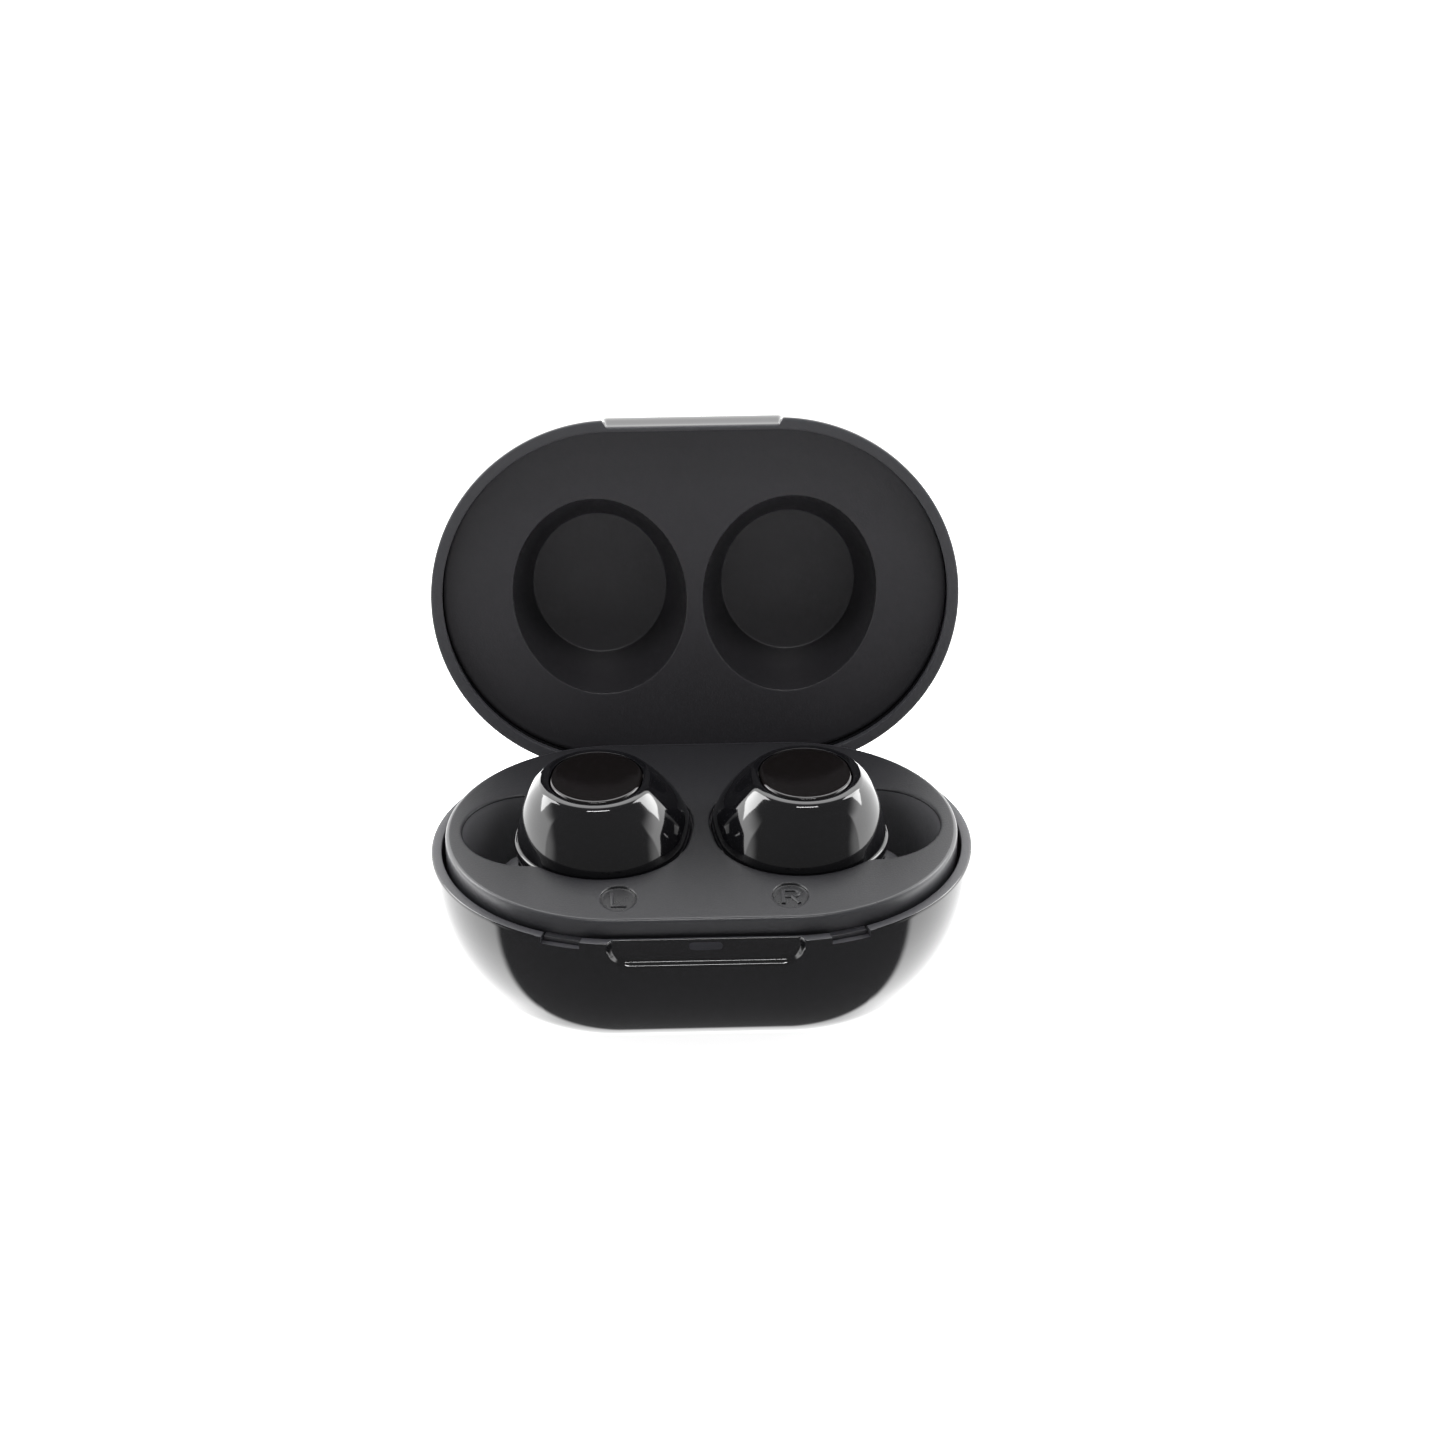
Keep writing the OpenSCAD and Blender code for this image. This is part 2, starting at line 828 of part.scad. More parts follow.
module right_driver() { on_side("right") driver(); }
module right_cell() { on_side("right") cell(); }
module right_bud_board() { on_side("right") bud_board(); }
module right_bud_switch() { on_side("right") bud_switch(); }
module right_microphone() { on_side("right") microphone(); }
module right_bud_magnet() { on_side("right") bud_magnet(); }
module right_charge_pads() { on_side("right") charge_pads(); }

base_shell();
base_tray();
light_pipe();
status_led();
battery();
battery_pad();
main_board();
power_chip();
usb_receptacle();
usb_tongue();
left_contact_block();
right_contact_block();
left_front_pin();
left_rear_pin();
right_front_pin();
right_rear_pin();
left_seat_magnet();
right_seat_magnet();
left_latch_magnet();
right_latch_magnet();
hall_sensor();
board_screws();
hinge_cradle();
hinge_pin();
hinge_spring();
lid_shell();
lid_liner();
lid_hinge_leaf();
left_lid_magnet();
right_lid_magnet();
lid_sense_magnet();
left_bud_cover();
left_bud_shell();
left_bud_button();
left_ear_tip();
left_nozzle_screen();
left_driver();
left_cell();
left_bud_board();
left_bud_switch();
left_microphone();
left_bud_magnet();
left_charge_pads();
right_bud_cover();
right_bud_shell();
right_bud_button();
right_ear_tip();
right_nozzle_screen();
right_driver();
right_cell();
right_bud_board();
right_bud_switch();
right_microphone();
right_bud_magnet();
right_charge_pads();
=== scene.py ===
from math import asin, atan2, cos, hypot, pi, radians, sin

import bmesh
import bpy
from mathutils import Matrix, Vector
from mathutils.geometry import delaunay_2d_cdt


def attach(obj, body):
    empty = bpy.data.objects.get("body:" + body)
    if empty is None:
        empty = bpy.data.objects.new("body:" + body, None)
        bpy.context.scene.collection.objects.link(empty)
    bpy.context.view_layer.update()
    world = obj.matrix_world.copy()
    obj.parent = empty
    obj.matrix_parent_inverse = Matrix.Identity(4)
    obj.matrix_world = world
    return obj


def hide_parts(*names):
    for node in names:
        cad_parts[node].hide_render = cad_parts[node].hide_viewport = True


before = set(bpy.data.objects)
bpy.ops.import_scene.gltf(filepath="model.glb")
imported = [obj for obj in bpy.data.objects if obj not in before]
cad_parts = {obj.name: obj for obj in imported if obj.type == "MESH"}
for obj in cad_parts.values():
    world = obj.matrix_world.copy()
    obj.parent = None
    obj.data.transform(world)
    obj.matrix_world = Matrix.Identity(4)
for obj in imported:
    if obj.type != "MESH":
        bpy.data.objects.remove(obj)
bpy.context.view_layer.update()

# ---------------------------------------------------------------- camera
# A long portrait lens about 0.7 m from the case, a little above it.
# It looks down by 31 degrees, so both the deck and the lid's lining are seen.
RIM_Z = 20.5
camera_turn = radians(-1.01)
camera_drop = radians(31.3)
camera_roll = radians(-0.59)
camera_distance = 0.7
aim_right = 0.00387
aim_up = 0.0224

ahead = Vector((-sin(camera_turn) * cos(camera_drop), cos(camera_turn) * cos(camera_drop), -sin(camera_drop)))
level = Vector((cos(camera_turn), sin(camera_turn), 0))
above = level.cross(ahead)
right = cos(camera_roll) * level + sin(camera_roll) * above
upward = -sin(camera_roll) * level + cos(camera_roll) * above
place = Vector((0, 0, RIM_Z / 1000)) - camera_distance * ahead
look = (ahead + aim_right * right + aim_up * upward).normalized()
side = look.cross(upward).normalized()
top = side.cross(look)
camera_data = bpy.data.cameras.new("camera")
camera_data.lens = 134.66
camera_data.sensor_width = 36
camera_data.clip_start = 0.01
camera = bpy.data.objects.new("camera", camera_data)
camera.matrix_world = Matrix((
    (side.x, top.x, -look.x, place.x),
    (side.y, top.y, -look.y, place.y),
    (side.z, top.z, -look.z, place.z),
    (0, 0, 0, 1),
))
bpy.context.scene.collection.objects.link(camera)
bpy.context.scene.camera = camera
bpy.context.scene.view_settings.view_transform = "Standard"

# ---------------------------------------------------------------- studio
# A white light tent: pale floor, a soft box on each side, one overhead and a thin tube.
# The front of the tent is open, so what faces the front mirrors a dark room.


def add(tree, kind, links=None, **settings):
    """Adds a node, sets its properties and inputs, and links the sockets or sets the numbers in links."""
    node = tree.nodes.new("ShaderNode" + kind)
    for key, value in settings.items():
        if hasattr(node, key):
            setattr(node, key, value)
        else:
            node.inputs[key.replace("_", " ")].default_value = value
    for socket, source in (links or {}).items():
        if isinstance(source, (int, float)):
            node.inputs[socket].default_value = source
        else:
            tree.links.new(source, node.inputs[socket])
    return node


ROOM_GLOW = 0.24
WALL_GLOW = 3.2

world = bpy.data.worlds.new("tent")
world.use_nodes = True
bpy.context.scene.world = world
air = world.node_tree
air.nodes.clear()
heading = add(air, "TexCoord").outputs["Generated"]
x, y, z = add(air, "SeparateXYZ", {"Vector": heading}).outputs
sideways = add(air, "Math", {0: x}, operation="ABSOLUTE").outputs[0]
to_side = add(air, "Math", {0: sideways, 1: 0.6, 2: y}, operation="MULTIPLY_ADD").outputs[0]

# Each soft change across the tent: what it follows, where it starts and ends, and its two values.
fades = {
    "doorway": (to_side, 0.42, 0.32, 0, 1),
    "door_edge": (sideways, 0.97, 0.86, 0.5, 1),
    "roof_dark": (z, 0.35, 0.6, 0, 1),
    "roof_front": (y, 0.55, 0.4, 0, 1),
    "below": (z, -0.45, -0.85, 0, 1),
    "low_walls": (sideways, 0.15, 0.45, 2.2, 4.6),
}
for name, (source, start, end, low, high) in fades.items():
    limits = {"Value": source, "From Min": start, "From Max": end, "To Min": low, "To Max": high}
    fades[name] = add(air, "MapRange", limits, interpolation_type="SMOOTHSTEP").outputs[0]
doorway = add(air, "Math", {0: fades["doorway"], 1: fades["door_edge"]}, operation="MINIMUM").outputs[0]
overhead = add(air, "Math", {0: fades["roof_dark"], 1: fades["roof_front"]}, operation="MULTIPLY").outputs[0]
dark = add(air, "Math", {0: doorway, 1: overhead}, operation="MAXIMUM").outputs[0]
limits = {"Value": fades["below"], "To Min": WALL_GLOW, "To Max": fades["low_walls"]}
walls = add(air, "MapRange", limits).outputs[0]
room = add(air, "Math", {0: 1, 1: dark}, operation="SUBTRACT").outputs[0]
lit = add(air, "Math", {0: room, 1: walls}, operation="MULTIPLY").outputs[0]
strength = add(air, "Math", {0: lit, 1: ROOM_GLOW}, operation="ADD").outputs[0]
glow = add(air, "Background", {"Strength": strength}, Color=(1, 1, 1, 1))
out = add(air, "OutputWorld", {"Surface": glow.outputs[0]})


def soft_light(name, at, size, power):
    """A square soft box that faces the case."""
    data = bpy.data.lights.new(name, "AREA")
    data.shape = "RECTANGLE"
    data.size, data.size_y = size
    data.energy = power
    lamp = bpy.data.objects.new(name, data)
    lamp.location = at
    lamp.rotation_euler = (Vector((0, 0, 0.02)) - Vector(at)).to_track_quat("-Z", "Y").to_euler()
    bpy.context.scene.collection.objects.link(lamp)
    return lamp


soft_light("left_soft_box", (-0.54, 0.26, 0.45), (0.26, 0.42), 3.2)
soft_light("right_soft_box", (0.54, 0.26, 0.45), (0.26, 0.42), 3.2)
roof = soft_light("roof_soft_box", (0, -0.02, 0.9), (0.34, 0.16), 4)
roof.visible_glossy = False
tube = soft_light("roof_tube", (0.02, -0.27, 0.85), (0.4, 0.05), 2.2)
tube.visible_diffuse = False


def srgb(code):
    """A hex colour such as 1b1b1d as linear red, green, blue and alpha."""
    channels = [int(code[i:i + 2], 16) / 255 for i in (0, 2, 4)]
    return (*[c / 12.92 if c <= 0.04045 else ((c + 0.055) / 1.055) ** 2.4 for c in channels], 1)


FLOOR_HALF = 3
corners = [(x * FLOOR_HALF, y * FLOOR_HALF, 0) for x, y in ((-1, -1), (1, -1), (1, 1), (-1, 1))]
floor_mesh = bpy.data.meshes.new("floor")
floor_mesh.from_pydata(corners, [], [(0, 1, 2, 3)])
floor = bpy.data.objects.new("floor", floor_mesh)
bpy.context.scene.collection.objects.link(floor)
paper = bpy.data.materials.new("white_paper_sweep")
paper.use_nodes = True
sheet = paper.node_tree
shader = sheet.nodes["Principled BSDF"]
fibre = add(sheet, "TexNoise", Scale=900.0, Detail=3.0)
tint = add(sheet, "MixRGB", {"Fac": fibre.outputs["Fac"]}, Color1=srgb("f6f6f6"), Color2=srgb("ffffff"))
sheet.links.new(tint.outputs[0], shader.inputs["Base Color"])
shader.inputs["Roughness"].default_value = 0.9
shader.inputs["Specular IOR Level"].default_value = 0.0
shader.inputs["Emission Color"].default_value = (1, 1, 1, 1)
shader.inputs["Emission Strength"].default_value = 0.9
floor_mesh.materials.append(paper)
floor.visible_glossy = False

# ---------------------------------------------------------------- base shell
# The lower shell is one injection moulding of gloss black polycarbonate.
# Its plan is a stadium and its sides follow a superellipse down to a flat foot.
# The ring on top is textured in the mould, and a finger notch is scooped in its front.
END_R = 24.0
HALF_MID = 11.0
PLAN_POWER = 3.55
RISE_POWER = 2.24
BASE_H = RIM_Z + 0.7
RING_IN = 22.6
NOTCH_HALF = 12.6
NOTCH_H = 3.7
NOTCH_T = 0.9
HINGE_Y = END_R - 1.2
HINGE_Z = RIM_Z - 1.6


def spread(start, *stretches):
    """Positions from start on, each stretch given as where it ends and its longest step."""
    values = [start]
    for end, step in stretches:
        count = max(1, round(abs(end - values[-1]) / step))
        first = values[-1]
        values += [first + (end - first) * i / count for i in range(1, count + 1)]
    return values


def stadium_columns(*stretches):
    """Places round a stadium: centre X, outward X and Y, and the way from the front middle at full radius."""
    half = 2 * HALF_MID + pi * END_R
    columns = []
    for way in spread(0, *stretches):
        if way < HALF_MID:
            column = (way, 0, -1)
        elif way < HALF_MID + pi * END_R:
            angle = (way - HALF_MID) / END_R - pi / 2
            column = (HALF_MID, cos(angle), sin(angle))
        else:
            column = (half - way, 0, 1)
        columns.append((*column, way))
    other_side = [(-x, -dx, dy, -way) for x, dx, dy, way in columns[1:-1]]
    return columns + other_side[::-1]


def loft(name, rings, capped=(True, True), joined=False):
    """A mesh through rings of points, in millimetres, with flat caps or its last ring joined to the first."""
    count = len(rings[0])
    points = [(x / 1000, y / 1000, z / 1000) for ring in rings for x, y, z in ring]
    faces = []
    for j in range(len(rings) if joined else len(rings) - 1):
        low, up = j * count, (j + 1) % len(rings) * count
        faces += [(low + i, low + (i + 1) % count, up + (i + 1) % count, up + i) for i in range(count)]
    if capped[0] and not joined:
        faces.append(tuple(range(count))[::-1])
    if capped[1] and not joined:
        faces.append(tuple(range((len(rings) - 1) * count, len(rings) * count)))
    mesh = bpy.data.meshes.new(name)
    mesh.from_pydata(points, [], faces)
    piece = bpy.data.objects.new(name, mesh)
    bpy.context.scene.collection.objects.link(piece)
    return piece


def smooth(piece, angle=38):
    """Turns faces outwards and shades them smooth, but for edges sharper than angle."""
    work = bmesh.new()
    work.from_mesh(piece.data)
    bmesh.ops.remove_doubles(work, verts=work.verts, dist=1e-6)
    bmesh.ops.recalc_face_normals(work, faces=work.faces)
    work.to_mesh(piece.data)
    work.free()
    piece.data.shade_smooth()
    piece.data.set_sharp_from_angle(angle=radians(angle))


def cut(piece, *cutters):
    """Cuts closed shapes out of a piece."""
    for cutter in cutters:
        change = piece.modifiers.new("cut", "BOOLEAN")
        change.operation = "DIFFERENCE"
        change.solver = "EXACT"
        change.object = cutter
    settle(piece)
    for cutter in cutters:
        bpy.data.objects.remove(cutter)


def settle(piece):
    """Applies a piece's modifiers to its mesh."""
    graph = bpy.context.evaluated_depsgraph_get()
    graph.update()
    mesh = bpy.data.meshes.new_from_object(piece.evaluated_get(graph))
    piece.modifiers.clear()
    piece.data = mesh


def shell_radius(depth, r, h):
    """Radius of a superellipse bowl at a depth below its widest level."""
    return r * max(0.0, 1 - (depth / h) ** RISE_POWER) ** (1 / PLAN_POWER)


def bowl_line(r, h, start, last, count):
    """Points (radius, depth) of a bowl from one depth to another, evenly round its curve."""
    turns = [asin(min(1, (d / h) ** (RISE_POWER / 2))) for d in (start, last)]
    steps = [turns[0] + (turns[1] - turns[0]) * i / count for i in range(count + 1)]
    return [(r * cos(a) ** (2 / PLAN_POWER), h * sin(a) ** (2 / RISE_POWER)) for a in steps]


def ease(value):
    """A smooth step from 0 to 1."""
    value = max(0.0, min(1.0, value))
    return value * value * (3 - 2 * value)


def scoop(way, depth, half, height, lip=0.75, corner=2.8):
    """How much of the finger notch's depth is cut at a way along the rim and a distance from the ring."""
    across, down = abs(way) - (half - corner), depth - (height - corner)
    outside = hypot(max(across, 0), max(down, 0)) + min(max(across, down), 0) - corner
    return ease(-outside / lip)


def stadium_ring(columns, r, z, dent=None):
    """One level of a stadium body; dent gives how far each column is pushed in."""
    ring = []
    for x, dx, dy, way in columns:
        reach = r - (dent(way) if dent else 0)
        ring.append((x + reach * dx, reach * dy, z))
    return ring


def rod(name, at, r, half_length, sides=48):
    """A round bar along X, used to cut the room for the hinge barrel."""
    rings = []
    for x in (-half_length, half_length):
        turn = [2 * pi * i / sides for i in range(sides)]
        rings.append([(x, at[0] + r * cos(a), at[1] + r * sin(a)) for a in turn])
    return loft(name, rings)


def slot_bar(name, width, height, y_from, y_to, z, sides=16):
    """A bar along Y with a flat rounded section."""
    rings = []
    for y in (y_from, y_to):
        ring = []
        for end in (1, -1):
            middle = end * (width - height) / 2
            for i in range(sides + 1):
                a = -pi / 2 + pi * i / sides
                ring.append((middle + end * height / 2 * cos(a), y, z + end * height / 2 * sin(a)))
        rings.append(ring)
    return loft(name, rings)


def block(name, low, high, turn=0.0, shift=0.0):
    """A straight cutter box, turned about Z and then shifted along X."""
    rings = []
    for z in (low[2], high[2]):
        corners = [(low[0], low[1]), (high[0], low[1]), (high[0], high[1]), (low[0], high[1])]
        ring = [(x * cos(turn) - y * sin(turn) + shift, x * sin(turn) + y * cos(turn), z) for x, y in corners]
        rings.append(ring)
    return loft(name, rings)


EDGE = 0.3
TO_BACK = HALF_MID + pi * END_R
columns = stadium_columns(
    (NOTCH_HALF - 2, 0.5), (NOTCH_HALF + 9.5, 0.16), (TO_BACK, 0.9), (TO_BACK + HALF_MID, 0.5)
)
rings = [stadium_ring(columns, r, RIM_Z - d) for r, d in bowl_line(END_R, BASE_H, 5, RIM_Z, 34)[::-1]]
for depth in spread(4.9, (EDGE, 0.13)):
    rings.append(stadium_ring(
        columns, shell_radius(depth, END_R, BASE_H), RIM_Z - depth,
        lambda way: NOTCH_T * scoop(way, depth, NOTCH_HALF, NOTCH_H),
    ))
for a in spread(0.2, (pi / 2, 0.23)):
    rings.append(stadium_ring(
        columns, END_R - EDGE + EDGE * cos(a), RIM_Z - EDGE + EDGE * sin(a),
        lambda way: NOTCH_T * scoop(way, 0, NOTCH_HALF, NOTCH_H),
    ))
ring_start = len(rings)
rings.append(stadium_ring(columns, RING_IN + 0.16, RIM_Z))
for a in spread(0.4, (pi / 2, 0.4)):
    rings.append(stadium_ring(columns, RING_IN + 0.15 * (1 - sin(a)), RIM_Z - 0.15 * (1 - cos(a))))
rings += [stadium_ring(columns, RING_IN, RIM_Z - d) for d in (1, 2.5)]
inner_line = bowl_line(RING_IN, BASE_H - 1.6, 3, RIM_Z - 1.6, 24)
rings += [stadium_ring(columns, r, RIM_Z - d) for r, d in inner_line]
base_shell = loft("base_shell_moulding", rings)
SNAP_TURN, SNAP_HALF = radians(18), 2.55
cutters = [
    rod("hinge_room", (HINGE_Y, HINGE_Z), 1.5, 11.3),
    block("hinge_gap", (-11.3, 22.2, HINGE_Z), (11.3, 27, RIM_Z + 1)),
    block("leaf_gap", (-5.3, 22.21, HINGE_Z - 1.5), (5.3, 27.1, RIM_Z + 1.1)),
    block("rim_step", (-15, END_R - 1, RIM_Z - 0.6), (15, 27.2, RIM_Z + 1.2)),
    slot_bar("port_slot", 9.34, 3.66, END_R + 1, END_R - 8, 11.23),
    slot_bar("window_slot", 4.5, 1.3, -END_R - 1, -20, RIM_Z - 1.0),
]
for hand in (-1, 1):
    at_snap = (hand * SNAP_TURN, hand * HALF_MID)
    low, high = (-SNAP_HALF, -25, RIM_Z - 0.9), (SNAP_HALF, -22.7, RIM_Z + 1)
    cutters.append(block("snap_front", low, high, *at_snap))
    low, high = (-SNAP_HALF + 0.01, -23.1, RIM_Z - 2.2), (SNAP_HALF - 0.01, -22, RIM_Z + 1)
    cutters.append(block("snap_back", low, high, *at_snap))
cut(base_shell, *cutters)
smooth(base_shell)


def finish(name, colour, gloss, grains, height_mm=0.0, mottle=None, **sockets):
    """A surface whose roughness goes from gloss[0] to gloss[1] over a grain, with that grain's height.

    A grain is its size in mm, its detail and its roughness; a second grain, if given, is the
    one with the height. mottle is a second colour and the size in mm of the clouds of it.
    """
    material = bpy.data.materials.new(name)
    material.use_nodes = True
    tree = material.node_tree
    shader = tree.nodes["Principled BSDF"]
    shader.inputs["Base Color"].default_value = srgb(colour)
    shader.inputs["Roughness"].default_value = sum(gloss) / 2
    for socket, value in sockets.items():
        shader.inputs[socket.replace("_", " ")].default_value = value
    where = add(tree, "TexCoord").outputs["Object"]
    clouds = [(mottle[1], 2, 0.5)] if mottle else []
    noise = []
    for size_mm, detail, rough in (*grains, *clouds):
        settings = {"Scale": 1000 / size_mm, "Detail": detail, "Roughness": rough}
        noise.append(add(tree, "TexNoise", {"Vector": where, **settings}).outputs["Fac"])
    spread_out = add(tree, "MapRange", {"Value": noise[0]}, To_Min=gloss[0], To_Max=gloss[1])
    tree.links.new(spread_out.outputs[0], shader.inputs["Roughness"])
    if height_mm:
        bump = add(tree, "Bump", {"Height": noise[len(grains) - 1]}, Distance=height_mm / 1000, Strength=1.0)
        tree.links.new(bump.outputs[0], shader.inputs["Normal"])
    if mottle:
        shade = add(tree, "MixRGB", {"Fac": noise[-1]}, Color1=srgb(colour), Color2=srgb(mottle[0]))
        tree.links.new(shade.outputs[0], shader.inputs["Base Color"])
    return material


POLYCARBONATE, ABS = 1.585, 1.53

# Polycarbonate moulded in a polished tool: deep black, sharp reflections, and the
# faintest waviness from shrinkage. Handling leaves a haze of smudges in the gloss.
gloss_black = finish(
    "gloss_black_polycarbonate", "0c0c0e", (0.03, 0.11), ((9, 4, 0.6), (7, 1, 0.5)), 0.004, IOR=POLYCARBONATE
)

# The same moulding where the tool is spark eroded: a fine even grain that scatters
# light. Its colour is drawn a much lighter grey than the gloss shell: painted light.
# Such a grain is about 0.06 mm; it is drawn at 0.22 mm so that it shows.
ring_grain_painted_light = finish("spark_eroded_ring_painted_light", "39393d", (0.4, 0.6), ((0.22, 3, 0.5),), 0.02, IOR=POLYCARBONATE)

base_shell.data.materials.append(gloss_black)
base_shell.data.materials.append(ring_grain_painted_light)


def reach_of(face):
    """Distance of a face from the stadium's middle line, in millimetres."""
    return hypot(max(abs(face.center.x) * 1000 - HALF_MID, 0), face.center.y * 1000)


# The ring, the snap slots and the inside get the grained grey with its painted light.
for face in base_shell.data.polygons:
    z = face.center.z * 1000
    on_top = z > RIM_Z - 2.3 and face.normal.z > 0.85
    in_slot = z > RIM_Z - 2.3 and 13 < abs(face.center.x) * 1000 < 22 and reach_of(face) < END_R - 0.12
    inside = z > 2 and reach_of(face) < shell_radius(max(RIM_Z - z, 0), END_R, BASE_H) - 1.15
    face.material_index = 1 if on_top or in_slot or inside else 0
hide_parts("base_shell")
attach(base_shell, "base")

# ---------------------------------------------------------------- tray
# The tray is a satin ABS moulding pressed into the shell. Its deck stands proud of
# the ring, with a bowl for each bud, a deeper pocket for each ear tip, and a
# sunken side mark in front of each bud.
DECK_Z = 22.8
TRAY_R = 22.1
DECK_EDGE = 0.5
BUD_X, BUD_Y, BUD_R = 12.6, 0.5, 11.05
LEAN = radians(9)
POCKET_X, POCKET_R = 22.1, 8.8
SEAT_R = BUD_R + 0.25
SEAT_Z, POCKET_Z = 12.9, 5.6
MARK = (10.9, 16.7)
MARK_SUNK = 0.3


def to_oval(x, y, half_mid):
    """Distance from the middle line of the left bud's oval."""
    u, v = x + BUD_X, y - BUD_Y
    along = u * sin(LEAN) + v * cos(LEAN)
    across = u * cos(LEAN) - v * sin(LEAN)
    return hypot(across, max(abs(along) - half_mid, 0))


def seat_gap(x, y):
    """How far a point lies outside the joined outline of the left seat and pocket."""
    seat = to_oval(x, y, 1.2) - SEAT_R
    pocket = hypot(x + POCKET_X, y - BUD_Y) - POCKET_R
    blend = max(0.9 - abs(seat - pocket), 0) / 0.9
    return min(seat, pocket) - blend * blend * 0.225


def cross_at(gap, centre, angle, level, far=20.0):
    """Where a ray from centre meets the level of a distance function."""
    low, high = 0.0, far
    for _ in range(40):
        middle = (low + high) / 2
        point = (centre[0] + middle * cos(angle), centre[1] + middle * sin(angle))
        low, high = (middle, high) if gap(*point) < level else (low, middle)
    return (centre[0] + low * cos(angle), centre[1] + low * sin(angle))


def cup_floor(x, y):
    """Height of the bowl and pocket under a point."""
    reach = to_oval(x, y, 1.2)
    line = ((0, SEAT_Z), (7.2, SEAT_Z), (9.5, 14.7), (10.8, 17.4), (SEAT_R, 20.4), (SEAT_R + 0.3, DECK_Z))
    bowl = DECK_Z
    for (r0, z0), (r1, z1) in zip(line, line[1:]):
        if r0 <= reach <= r1:
            bowl = z0 + (z1 - z0) * (reach - r0) / (r1 - r0)
    out = hypot(max(abs(x) - HALF_MID, 0), y)
    scooped = RIM_Z - 18.1 * max(0.0, 1 - min(1, out / 20.9) ** PLAN_POWER) ** (1 / RISE_POWER)
    pocket = max(POCKET_Z, scooped)
    wall = ease((x + 16.9) / 0.9)
    pocket = pocket + (DECK_Z - pocket) * wall
    return min(bowl, pocket)


def mirrored(ring, hand):
    """Left-hand points, or their mirror image for the right hand."""
    return ring if hand < 0 else [(-p[0], *p[1:]) for p in ring][::-1]


def mark_ring(grow, count=56):
    """Outline of the left side mark, a short upright oval."""
    turn = [2 * pi * i / count for i in range(count)]
    return [(-MARK[0] + (2.3 + grow) * cos(a), -MARK[1] + (2.95 + grow) * sin(a)) for a in turn]


def add_rings(work, rings, cap=False):
    """Adds a strip of quads through rings to a bmesh, in millimetres."""
    rows = [[work.verts.new((x / 1000, y / 1000, z / 1000)) for x, y, z in ring] for ring in rings]
    for low, up in zip(rows, rows[1:]):
        for i in range(len(low)):
            work.faces.new((low[i - 1], low[i], up[i], up[i - 1]))
    if cap:
        work.faces.new(rows[-1])


def add_plate(work, outlines, z, is_hole):
    """Adds a flat plate between outlines, leaving out what lies in a hole."""
    points, edges = [], []
    for outline in outlines:
        first = len(points)
        points += [Vector(p) for p in outline]
        edges += [(first + i, first + (i + 1) % len(outline)) for i in range(len(outline))]
    found = delaunay_2d_cdt(points, edges, [], 1, 1e-6)
    corners = [work.verts.new((p.x / 1000, p.y / 1000, z / 1000)) for p in found[0]]
    for face in found[2]:
        middle = sum((found[0][i] for i in face), Vector((0, 0))) / len(face)
        if not is_hole(middle.x, middle.y):
            work.faces.new([corners[i] for i in face])


tray_mesh = bmesh.new()
deck_columns = stadium_columns((HALF_MID, 0.9), (TO_BACK, 0.7), (TO_BACK + HALF_MID, 0.9))
outer = [stadium_ring(deck_columns, TRAY_R, z) for z in (RIM_Z - 2.3, RIM_Z, DECK_Z - DECK_EDGE)]
for a in spread(0.26, (pi / 2, 0.26)):
    r, z = TRAY_R - DECK_EDGE * (1 - cos(a)), DECK_Z - DECK_EDGE * (1 - sin(a))
    outer.append(stadium_ring(deck_columns, r, z))
outer.append(stadium_ring(deck_columns, TRAY_R - DECK_EDGE - 0.3, DECK_Z))
add_rings(tray_mesh, outer)
outlines = [[p[:2] for p in outer[-1]]]
cup_centre = (-15.2, BUD_Y)
cup_turns = [2 * pi * i / 260 for i in range(260)]
EDGE_R = 0.3
for hand in (-1, 1):
    edge_line = [(EDGE_R + 0.3, DECK_Z)] + [
        (EDGE_R * (1 - sin(a)), DECK_Z - EDGE_R * (1 - cos(a))) for a in spread(0, (pi / 2, 0.3))
    ]
    cup = []
    for grow, z in edge_line:
        cup.append([(*cross_at(seat_gap, cup_centre, a, grow), z) for a in cup_turns])
    wall = [cross_at(seat_gap, cup_centre, a, -0.12) for a in cup_turns]
    foot = [min(DECK_Z - 1, cup_floor(*cross_at(seat_gap, cup_centre, a, -0.35))) for a in cup_turns]
    for t in (0.15, 0.4, 0.7, 1):
        cup.append([(*p, DECK_Z - EDGE_R + (f - DECK_Z + EDGE_R) * t) for p, f in zip(wall, foot)])
    for share in [1 - i / 30 for i in range(1, 30)]:
        ring = [tuple(c + (v - c) * share for c, v in zip(cup_centre, p)) for p in wall]
        cup.append([(*p, min(f, cup_floor(*p))) for p, f in zip(ring, foot)])
    cup = [mirrored(ring, hand) for ring in cup]
    add_rings(tray_mesh, cup, cap=True)
    outlines.append([p[:2] for p in cup[0]])
    mark_line = (
        (0.3, 0), (0.12, 0), (0.05, 0.03), (0, 0.1), (-0.04, 0.27), (-0.12, MARK_SUNK), (-0.4, MARK_SUNK),
    )
    mark = [mirrored([(*p, DECK_Z - d) for p in mark_ring(grow)], hand) for grow, d in mark_line]
    add_rings(tray_mesh, mark, cap=True)
    outlines.append([p[:2] for p in mark[0]])


def in_mark(x, y, grow):
    """Whether a point lies inside a side mark grown by so much."""
    return ((abs(x) - MARK[0]) / (2.3 + grow)) ** 2 + ((y + MARK[1]) / (2.95 + grow)) ** 2 < 1


def in_deck_hole(x, y):
    """Whether a point lies in a bowl, a pocket or a side mark."""
    return seat_gap(-abs(x), y) < EDGE_R + 0.3 or in_mark(x, y, 0.3)


